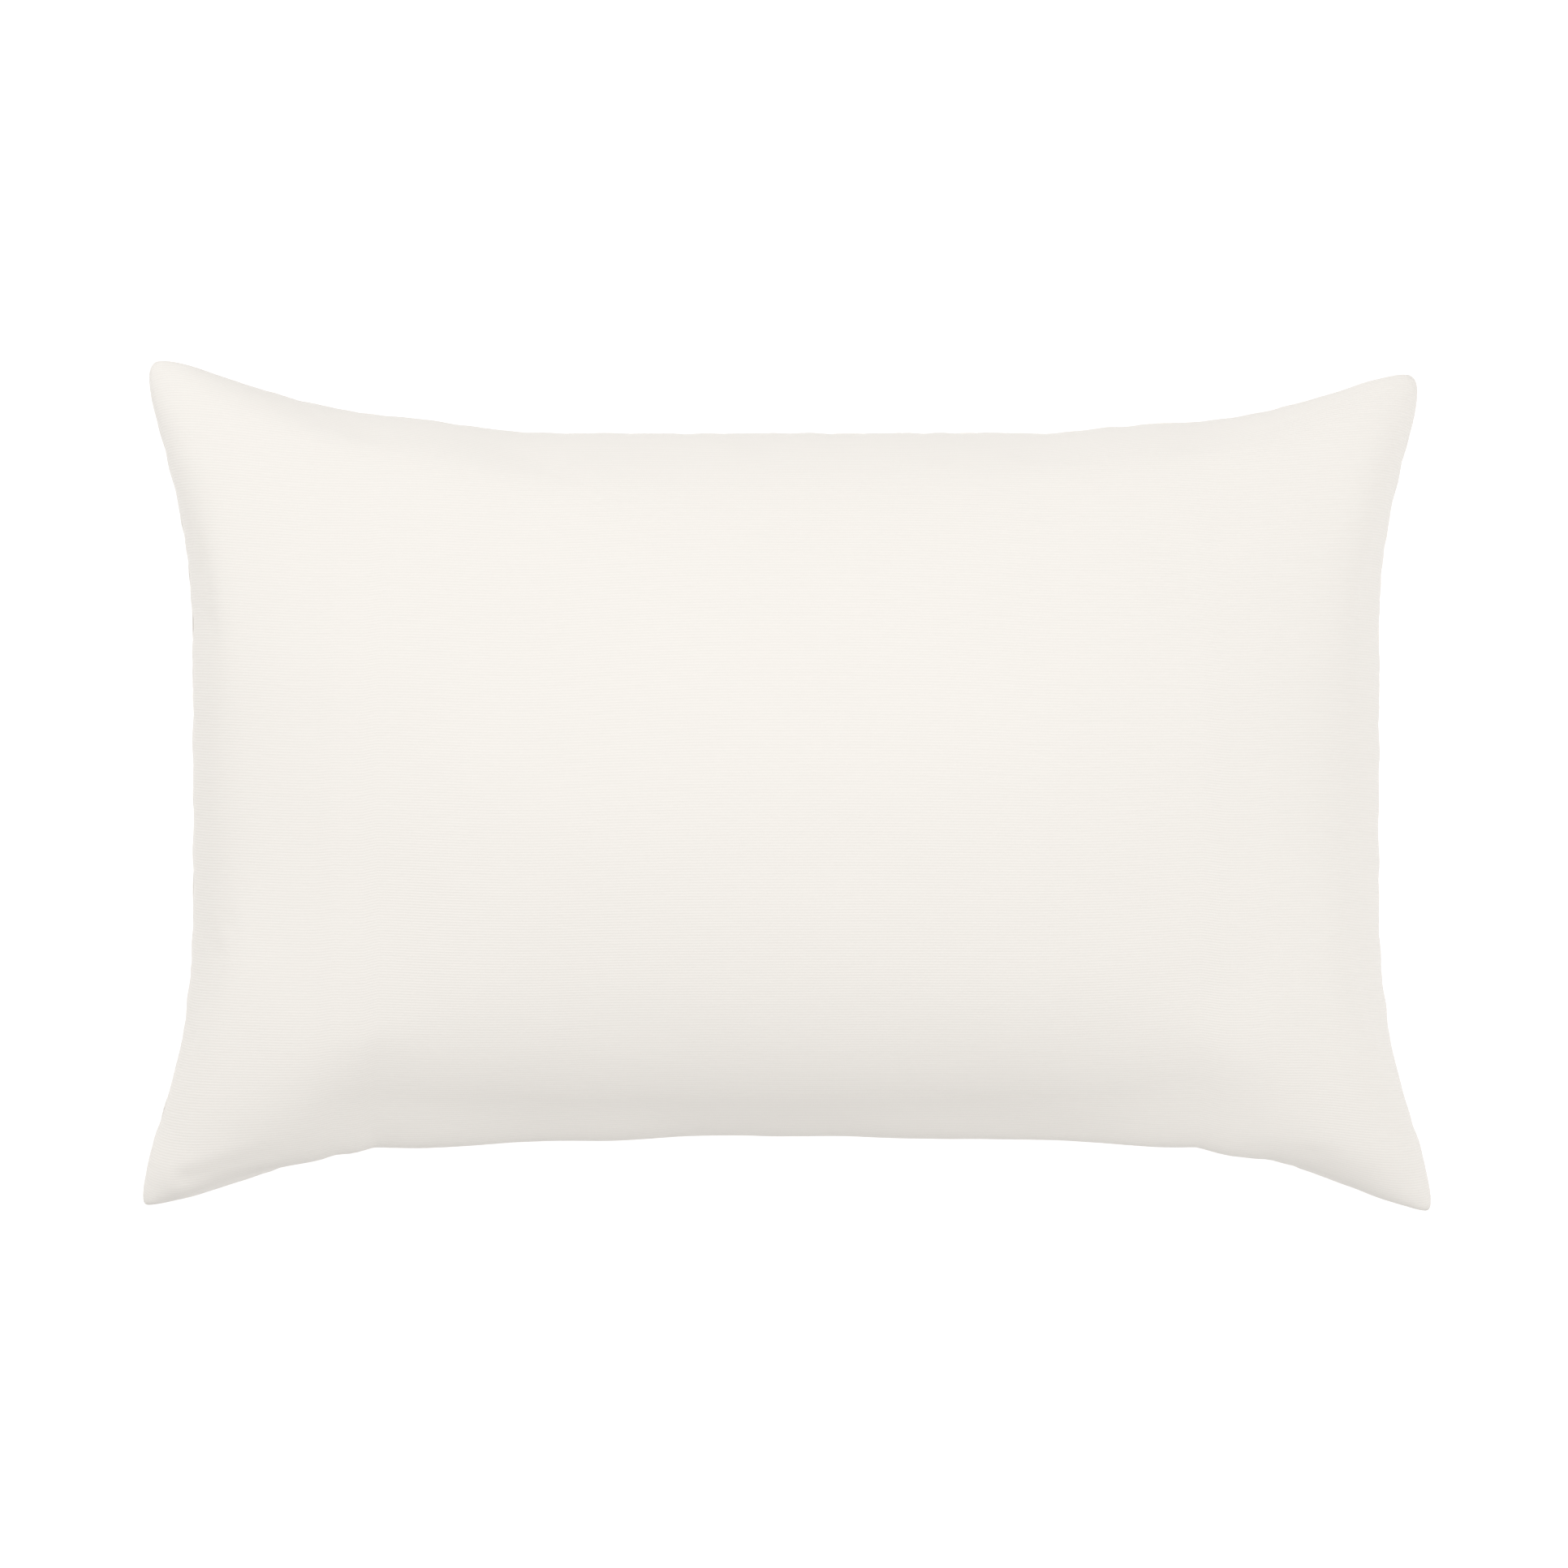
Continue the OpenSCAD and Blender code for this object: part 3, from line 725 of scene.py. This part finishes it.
def twisted(name, colour, depth=0.08 * MM):
    """Spun sewing thread."""
    g = Graph(name, {"Roughness": 0.6, "Sheen Weight": 0.2, "Specular IOR Level": 0.35})
    place = g.place()
    x, y, z = g.split(place)
    along = g.math("ADD", g.math("ADD", x, y), g.math("MULTIPLY", z, 1.7))
    ply = g.wave(along, 0.45 * MM)
    fuzz = g.noise(place, 0.25 * MM, detail=3)
    height = g.math("MULTIPLY_ADD", fuzz, 0.4, ply)
    # painted shade in the grooves between the plies, and a little painted light on their crests
    return g.finish(g.blend(ply, shade(colour, 0.8), shade(colour, 1.03)), height, depth)


def herringbone(name, colour):
    """Zip tape: a fine twill that turns back and forth."""
    g = Graph(name, {"Roughness": 0.7, "Sheen Weight": 0.15, "Specular IOR Level": 0.25})
    uv = g.uv()
    u, v, _ = g.split(uv)
    zigzag = g.math("PINGPONG", v, 1.5 * MM)
    twill = g.wave(g.math("ADD", u, zigzag), 0.55 * MM)
    yarn = g.noise(uv, 0.5 * MM, (0.3, 1, 1), 3)
    height = g.math("MULTIPLY_ADD", yarn, 0.4, twill)
    # the twill's low places are painted darker: painted shade in its hollows
    cloth = g.blend(height, shade(colour, 0.8), shade(colour, 1))
    return g.finish(cloth, height, 0.12 * MM)


def satin(name, colour):
    """Blank label satin: close lengthways floats with a soft gloss."""
    g = Graph(name, {"Roughness": 0.38, "Sheen Weight": 0.1, "Specular IOR Level": 0.5, "Anisotropic": 0.4})
    uv = g.uv()
    u, v, _ = g.split(uv)
    row = g.math("FLOOR", g.math("DIVIDE", v, 0.22 * MM))
    float_run = g.wave(g.math("MULTIPLY_ADD", row, 0.31 * MM, u), 0.8 * MM)
    yarn = g.wave(v, 0.22 * MM)
    height = g.math("MULTIPLY_ADD", float_run, 0.4, yarn)
    wear = g.noise(uv, 9 * MM, detail=4)
    cloth = g.blend(g.math("MULTIPLY", wear, 0.5), shade(colour, 1), shade(colour, 0.88))
    return g.finish(g.blend(g.math("MULTIPLY", height, 0.12), cloth, shade(colour, 0.75)), height, 0.05 * MM)


def moulded(name, colour, roughness):
    """Nylon monofilament, drawn and set, with faint draw lines."""
    g = Graph(name, {"Roughness": roughness, "Specular IOR Level": 0.5, "Subsurface Weight": 0.15,
                     "Subsurface Scale": 0.6 * MM})
    place = g.place()
    cloud = g.noise(place, 6 * MM, detail=4)
    lines = g.noise(place, 0.3 * MM, (1, 0.2, 0.2), 2)
    return g.finish(g.blend(cloud, shade(colour, 0.93), shade(colour, 1.02)), lines, 0.03 * MM, 0.4)


def enamelled(name, colour, metal):
    """Off-white enamel over die-cast zinc, rubbed through a little on its edges."""
    g = Graph(name, {"Roughness": 0.32, "Specular IOR Level": 0.5, "Coat Weight": 0.35,
                     "Coat Roughness": 0.15})
    place = g.place()
    edge = g.node("NewGeometry", {}).outputs["Pointiness"]
    rubbed = g.noise(place, 1.2 * MM, detail=5)
    worn = g.math("MULTIPLY", g.math("SUBTRACT", g.math("MULTIPLY_ADD", rubbed, 0.25, edge), 0.7), 6)
    worn = g.node("Clamp", {"Value": worn}).outputs[0]
    peel = g.noise(place, 0.7 * MM, detail=2)
    paint = g.blend(g.noise(place, 5 * MM, detail=3), shade(colour, 0.96), shade(colour, 1.02))
    g.feed(g.shader, "Metallic", worn)
    return g.finish(g.blend(worn, paint, shade(metal, 1)), peel, 0.04 * MM, 0.4)


def carded(name, colour):
    """Loose polyester fibre: tangled strands over soft clumps, with painted shade in the gaps between the
    strands.
    """
    g = Graph(name, {"Roughness": 0.7, "Sheen Weight": 0.6, "Sheen Roughness": 0.35,
                     "Specular IOR Level": 0.3, "Subsurface Weight": 0.2, "Subsurface Scale": 8 * MM})
    place = g.place()
    swirl = g.node("TexNoise", {"Vector": place, "Scale": 1 / (30 * MM), "Detail": 2}).outputs["Color"]
    bent = g.node("VectorMath", {0: swirl, 1: (0.04, 0.04, 0.04)}, operation="MULTIPLY").outputs[0]
    bent = g.node("VectorMath", {0: place, 1: bent}, operation="ADD").outputs[0]
    strands = g.noise(bent, 0.6 * MM, (0.04, 1, 1), 4)
    crossing = g.noise(bent, 0.6 * MM, (1, 0.05, 1), 4)
    clumps = g.noise(place, 25 * MM, detail=4)
    height = g.math("MULTIPLY_ADD", clumps, 2.0, g.math("MAXIMUM", strands, crossing))
    # the strands are painted lighter than the gaps between them: painted shade between the fibres
    fibre = g.blend(g.math("MAXIMUM", strands, crossing), shade(colour, 0.78), shade(colour, 1.02))
    return g.finish(fibre, height, 0.8 * MM)


slots = {m["slot"]: m["base_color"] for m in frame["record"]["materials"]}
cover_cloth = woven("cover_cloth", (0.90, 0.877, 0.84), 1.57 * MM, 0.52 * MM, 0.06, 0.13 * MM)
ticking = woven("ticking", slots["ticking"], 0.4 * MM, 0.4 * MM, 0.08, 0.05 * MM, sheen=0.05, mottle=0.01)
cover_thread = twisted("cover_thread", slots["cover_thread"])
insert_thread = twisted("insert_thread", slots["insert_thread"])
zip_tape = herringbone("zip_tape", slots["zip_tape"])
zip_nylon = moulded("zip_nylon", slots["zip_nylon"], 0.35)
zip_enamel = enamelled("zip_enamel", slots["zip_enamel"], (0.55, 0.54, 0.52))
label_satin = satin("label_satin", slots["label_satin"])
fibre = carded("fibre", slots["fibre"])

# ---------------------------------------------------------------- cover

for side, node in ((FRONT, "cover_front_panel"), (BACK, "cover_back_panel")):
    s, t, grid = cover_grid(side)
    mesh = sewn_panel(node, side, grid, s, t, SEAM_GAP, FOLD_R, ALLOWANCE, CLOTH_T, ZIP_ROOM)
    panel = add_piece(node + "_cloth", mesh, "pillow", node, cover_cloth)

# ---------------------------------------------------------------- insert and filling

INSERT_INSET = 15 * MM
INSERT_CELLS = (96, 66)
INSERT_GAP = 0.08 * MM
INSERT_FOLD_R = 0.6 * MM
INSERT_ALLOWANCE = 8 * MM
TICKING_T = 0.3 * MM
FILLING_INSET = 25 * MM
FILLING_CELLS = (72, 50)
FILLING_LUMPS = 1.2 * MM

for side, node in ((FRONT, "insert_front_panel"), (BACK, "insert_back_panel")):
    s, t, grid = inner_grid(side, INSERT_INSET, INSERT_CELLS)
    mesh = sewn_panel(node, side, grid, s, t, INSERT_GAP, INSERT_FOLD_R, INSERT_ALLOWANCE, TICKING_T, 0)
    panel = add_piece(node + "_cloth", mesh, "pillow", node, ticking)

filled_front = inner_grid(FRONT, FILLING_INSET, FILLING_CELLS, FILLING_LUMPS)[2]
filled_back = inner_grid(BACK, FILLING_INSET, FILLING_CELLS, FILLING_LUMPS)[2]
rim = 0.5 * (filled_front + filled_back)
front, back = grid_index(FILLING_CELLS)
points = np.zeros((back.max() + 1, 3))
points[back] = filled_back
points[front] = filled_front
rows, columns = edge_order(front.shape)
points[front[rows, columns]] = rim[rows, columns]
faces = np.concatenate([quads(front), quads(back, flip=True)])
mesh = applied(mesh_from("fibre_fill", points, faces), ("SUBSURF", {"levels": 1}))
filling = add_piece("fibre_fill_wad", mesh, "pillow", "fibre_fill", fibre)

# ---------------------------------------------------------------- sewing threads

COVER_PITCH = 2.8 * MM
COVER_THREAD_R = 0.11 * MM
INSERT_PITCH = 3 * MM
INSERT_THREAD_R = 0.075 * MM
CLOSING_PITCH = 2 * MM


def seam_path(inset_by, depth, first_turn, last_turn):
    """Points round a seam brought in by inset_by, at a depth inside it, between two turns of 0 to 4."""
    n = 400
    turn = np.linspace(first_turn, last_turn, n)
    corner = np.floor(turn).astype(int) % 4
    f = 2 * (turn % 1) - 1
    s = np.choose(corner, [f, np.ones(n), -f, -np.ones(n)])
    t = np.choose(corner, [-np.ones(n), f, np.ones(n), -f])
    u, v = np.sin(s * np.pi / 2), np.sin(t * np.pi / 2)
    edge = np.stack([*outline(u, v), np.full(n, SEAM_Z)], -1)
    path = inset(brought_in(edge, inset_by), s, t, depth)
    path[:, 2] = SEAM_Z + ear_lift(u, v)
    return path


def turn_at(x, half_width):
    """How far round the seam path a point on a long side lies, for x along that side."""
    return 0.5 + math.asin(x / half_width) / math.pi


zip_turn = turn_at(CHAIN_END + ZIP_FADE, HALF[0])
cover_path = seam_path(0, 1.5 * MM, zip_turn, 5 - zip_turn)
mesh = stitched("cover_seam_thread", [cover_path], COVER_PITCH, COVER_THREAD_R)
add_piece("cover_seam_stitches", mesh, "pillow", "cover_seam_thread", cover_thread)

closing_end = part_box("insert_closing_stitch")[1][0]
closed = turn_at(closing_end, HALF[0] - INSERT_INSET)
insert_path = seam_path(INSERT_INSET, 1.2 * MM, 2 + closed, 7 - closed)
mesh = stitched("insert_seam_thread", [insert_path], INSERT_PITCH, INSERT_THREAD_R)
add_piece("insert_seam_stitches", mesh, "pillow", "insert_seam_thread", insert_thread)
closing_path = seam_path(INSERT_INSET, 0.7 * MM, 3 - closed, 2 + closed)
mesh = stitched("insert_closing_stitch", [closing_path], CLOSING_PITCH, 1.2 * INSERT_THREAD_R)
add_piece("insert_closing_stitches", mesh, "pillow", "insert_closing_stitch", insert_thread)

# ---------------------------------------------------------------- zip

COIL_PITCH = 1.27 * MM
COIL_WIRE_R = 0.2 * MM
TAPE_T = 0.4 * MM


def zip_tape_mesh(side):
    """A woven tape that stands beside the coil and turns flat against the cover's folded edge."""
    low, high = (np.array(c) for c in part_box("zip_tape_front"))
    leg_y = low[1] + 0.25 * MM
    flat_z = high[2] - 0.25 * MM - SEAM_Z
    foot_z = low[2] - SEAM_Z
    bend_r = 0.7 * MM
    turn = np.radians(np.linspace(0, 90, 6))
    section = [(leg_y, foot_z), (leg_y, (foot_z + flat_z - bend_r) / 2), (leg_y, flat_z - bend_r)]
    section += [(leg_y + bend_r * (1 - math.cos(a)), flat_z - bend_r * (1 - math.sin(a))) for a in turn[1:]]
    section += [(y, flat_z) for y in np.linspace(leg_y + bend_r, high[1], 8)[1:]]
    section = np.array(section)
    run = np.concatenate([[0], np.cumsum(np.linalg.norm(np.diff(section, axis=0), axis=1))])
    slope = np.gradient(section, axis=0)
    slope /= np.linalg.norm(slope, axis=1, keepdims=True)
    normal = np.stack([-slope[:, 1], slope[:, 0]], -1)
    stations = np.linspace(low[0], high[0], 232)
    # the selvedge is a little thicker than the rest, and the cut ends are singed thin
    thick = TAPE_T / 2 * (1 + 0.25 * np.exp(-((run - run[-1] + 0.8 * MM) / (0.5 * MM)) ** 2))
    thick = thick[None] * (0.7 + 0.3 * smooth((high[0] - np.abs(stations)) / (1.5 * MM)))[:, None]
    points, uv = [], []
    for face in (1, -1):
        yz = section[None] + normal[None] * (face * thick)[..., None]
        x = np.broadcast_to(stations[:, None], yz.shape[:2])
        points.append(np.stack([x, yz[..., 0], SEAM_Z + side * yz[..., 1]], -1).reshape(-1, 3))
        uv.append(np.stack([x, np.broadcast_to(run, x.shape)], -1).reshape(-1, 2))
    shape = (len(stations), len(section))
    index = np.arange(shape[0] * shape[1]).reshape(shape)
    rows, columns = edge_order(shape)
    edge = index[rows, columns]
    faces = np.concatenate([
        quads(index, flip=side == FRONT), quads(index + index.size, flip=side == BACK),
        turned(strip(edge, edge + index.size), side == FRONT),
    ])
    return mesh_from("zip_tape", np.concatenate(points), faces, np.concatenate(uv))


def zip_coil_mesh(side):
    """A coil of monofilament with the cord that runs through it and holds it on its tape."""
    node = "zip_coil_front" if side == FRONT else "zip_coil_back"
    low, high = (np.array(c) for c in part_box(node))
    centre = (low + high) / 2
    reach = (high - low)[1:] / 2
    turns = int((high[0] - low[0] - 2 * COIL_WIRE_R) / COIL_PITCH)
    angle = np.linspace(0, turns * 2 * np.pi, turns * 12 + 1)
    length = turns * COIL_PITCH
    path = np.stack([
        centre[0] - length / 2 + COIL_PITCH * angle / (2 * np.pi),
        centre[1] + (reach[0] - COIL_WIRE_R) * np.sin(angle),
        centre[2] + side * (reach[1] - COIL_WIRE_R) * np.cos(angle),
    ], -1)
    if side == BACK:
        path[:, 0] += COIL_PITCH / 2 * np.sin(np.minimum(angle, np.pi / 2))
    core_x = np.linspace(low[0] + COIL_PITCH, high[0] - COIL_PITCH, 90)
    core = np.stack([core_x, np.full(90, centre[1]), np.full(90, centre[2])], -1)
    return joined(node, [tube("coil", path, COIL_WIRE_R, 6), tube("core", core, reach[0] * 0.42, 8)])


for side, word in ((FRONT, "front"), (BACK, "back")):
    tape, coil = f"zip_tape_{word}", f"zip_coil_{word}"
    add_piece(tape + "_woven", zip_tape_mesh(side), "pillow", tape, zip_tape)
    add_piece(coil + "_wound", zip_coil_mesh(side), "pillow", coil, zip_nylon)

row_low, row_high = (np.array(c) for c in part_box("zip_stitching"))
rows_of_stitches = [
    np.array([(x, (row_low[1] + row_high[1]) / 2, SEAM_Z + side * (row_high[2] - SEAM_Z - 0.05 * MM))
              for x in np.linspace(row_low[0], row_high[0], 60)])
    for side in (FRONT, BACK)
]
mesh = stitched("zip_stitching", rows_of_stitches, 2.6 * MM, 0.1 * MM)
add_piece("zip_stitches", mesh, "pillow", "zip_stitching", cover_thread)

for node in ("zip_top_stops", "zip_bottom_stop"):
    add_piece(node + "_crimped", softened(node, 0.18 * MM), "pillow", node, zip_nylon)
for node, body in (("zip_slider", "slider"), ("zip_pull", "pull")):
    add_piece(node + "_cast", softened(node, 0.14 * MM), body, node, zip_enamel)

# ---------------------------------------------------------------- labels


def label_mesh(name, centres, ups, size):
    """A thin satin tab with folded and hemmed ends, over a grid of centre points."""
    shape = centres.shape[:2]
    index = np.arange(shape[0] * shape[1]).reshape(shape)
    a, b = np.linspace(-0.5, 0.5, shape[0]), np.linspace(-0.5, 0.5, shape[1])
    # the two short ends are folded under, so they stand double
    thick = 0.07 * MM * (1 + smooth((np.abs(b) - 0.42) / 0.02))[None, :, None]
    points = np.concatenate([(centres + ups * thick).reshape(-1, 3), (centres - ups * thick).reshape(-1, 3)])
    uv = np.stack(np.meshgrid(a * size[0], b * size[1], indexing="ij"), -1).reshape(-1, 2)
    rows, columns = edge_order(shape)
    edge = index[rows, columns]
    faces = np.concatenate([
        quads(index), quads(index + index.size, flip=True), strip(edge, edge + index.size),
    ])
    return mesh_from(name, points, faces, np.concatenate([uv, uv]))


low, high = (np.array(c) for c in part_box("care_label"))
size = high - low
a, b = np.meshgrid(np.linspace(0, 1, 17), np.linspace(0, 1, 41), indexing="ij")
curl = 0.5 * MM * np.sin(np.pi * b) * (1 - a) + 0.25 * MM * np.sin(3 * np.pi * b) * (1 - a)
centres = np.stack([low[0] + a * size[0], low[1] + b * size[1], (low[2] + high[2]) / 2 + curl], -1)
mesh = label_mesh("care_label", centres, np.array([0, 0, 1.0]), size)
label = add_piece("care_label_satin", mesh, "pillow", "care_label", label_satin)

# the insert's label is caught in its side seam and lies along its lower surface
LABEL_LENGTH = 92 * MM
LABEL_WIDTH = 43 * MM
label_low, label_high = (np.array(c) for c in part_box("insert_label"))
middle_t = (label_low[1] + label_high[1]) / 2 / HALF[1]
a = np.linspace(0, 1, 41)
b = np.linspace(-0.5, 0.5, 21)
centres = settled_patch(BACK, 1 - a * LABEL_LENGTH / CUT[0], middle_t + b * LABEL_WIDTH / CUT[1])
lift = 1.2 * MM * smooth(a / 0.15) * (1 + 0.3 * np.sin(7 * a))
centres = brought_in(centres, INSERT_INSET) + normals_of(centres, FRONT) * lift[:, None, None]
centres[..., 2] = np.minimum(centres[..., 2], SEAM_Z - 0.3 * MM)
ups = normals_of(centres, FRONT)
mesh = label_mesh("insert_label", np.swapaxes(centres, 0, 1), np.swapaxes(ups, 0, 1),
                  (LABEL_WIDTH, LABEL_LENGTH))
label = add_piece("insert_label_satin", mesh, "pillow", "insert_label", label_satin)

# ---------------------------------------------------------------- camera, light and floor

VIEW_HEIGHT = 4                              # of the camera above the seam
VIEW_WIDTH = 0.9287                          # width of the picture at the seam

camera_data = bpy.data.cameras.new("camera")
camera_data.sensor_width = 36
camera_data.lens = 36 * VIEW_HEIGHT / VIEW_WIDTH
camera = bpy.data.objects.new("camera", camera_data)
camera.location = (-1.2 * MM, 1 * MM, SEAM_Z + VIEW_HEIGHT)
scene.collection.objects.link(camera)
scene.camera = camera


LAMP_SIZE = 2.6


def softbox(name, place, power):
    lamp = bpy.data.lights.new(name, "AREA")
    lamp.energy = power
    lamp.size = LAMP_SIZE
    holder = bpy.data.objects.new(name, lamp)
    holder.location = place
    holder.rotation_euler = (Vector((0, 0, SEAM_Z)) - Vector(place)).to_track_quat("-Z", "Y").to_euler()
    scene.collection.objects.link(holder)


softbox("key", (1.3, 0.9, 3.8), 86)
softbox("left", (-3.05, 1.1, 2.5), 62)
softbox("foot", (2.4, -2.6, 2.2), 25)

world = bpy.data.worlds.new("studio")
scene.world = world
world.use_nodes = True
sky = world.node_tree.nodes["Background"]
sky.inputs["Color"].default_value = (1.03, 0.992, 0.952, 1)
sky.inputs["Strength"].default_value = 0.33
scene.view_settings.view_transform = "Standard"

FLOOR = 60
floor_corners = [(-FLOOR, -FLOOR, 0), (FLOOR, -FLOOR, 0), (FLOOR, FLOOR, 0), (-FLOOR, FLOOR, 0)]
floor_mesh = mesh_from("floor", floor_corners, [[0, 1, 2, 3]])
floor = bpy.data.objects.new("floor", floor_mesh)
floor.location.z = -0.2 * MM
scene.collection.objects.link(floor)
paper = Graph("paper", {"Roughness": 0.9, "Specular IOR Level": 0, "Emission Strength": 1,
                        "Emission Color": (1.01, 1, 0.99, 1)})
grain = paper.noise(paper.place(), 4 * MM, detail=3)
white = paper.blend(grain, (0.12, 0.12, 0.12, 1), (0.13, 0.13, 0.13, 1))
floor_mesh.materials.append(paper.finish(white, grain, 0.02 * MM, 0.2))
